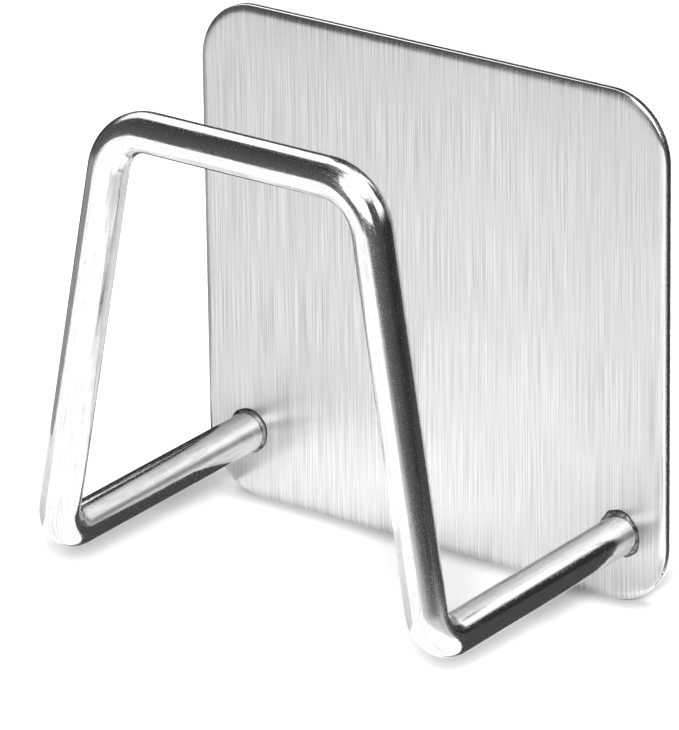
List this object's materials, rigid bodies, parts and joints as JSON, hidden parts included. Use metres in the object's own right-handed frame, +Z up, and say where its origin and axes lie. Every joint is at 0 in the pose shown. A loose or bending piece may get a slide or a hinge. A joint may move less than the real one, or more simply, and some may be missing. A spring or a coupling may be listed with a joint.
{
  "type": "sponge holder",
  "caption": "Stick-on sponge holder: a brushed steel plate with foam tape behind it and a bent round-rod loop welded on, which keeps a sponge upright on open prongs so that it drains.",
  "frame": {"origin": "centre of the rear face, the liner's outer face, which lies flat against the wall", "axes": "+Z up the wall, +Y into the wall so that the front faces -Y, +X to the right seen from the front"},
  "size_m": [0.056, 0.033, 0.0516],
  "materials": {
    "brushed_sheet": "satin",
    "polished_rod": "polished",
    "weld_metal": "satin",
    "white_foam": "matte",
    "clear_adhesive": "gloss",
    "liner_paper": "matte"
  },
  "bodies": {
    "holder": {"back_plate": "brushed_sheet", "wire_loop": "polished_rod", "weld_bead_left": "weld_metal", "weld_bead_right": "weld_metal", "tape_adhesive_front": "clear_adhesive", "tape_foam": "white_foam", "tape_adhesive_rear": "clear_adhesive"},
    "liner": {"release_liner": "liner_paper"}
  },
  "joints": [
    {"name": "liner_peel", "type": "slide", "parent": "holder", "child": "liner", "axis": [0, 1, 0], "range_m": [0, 0.04]}
  ]
}
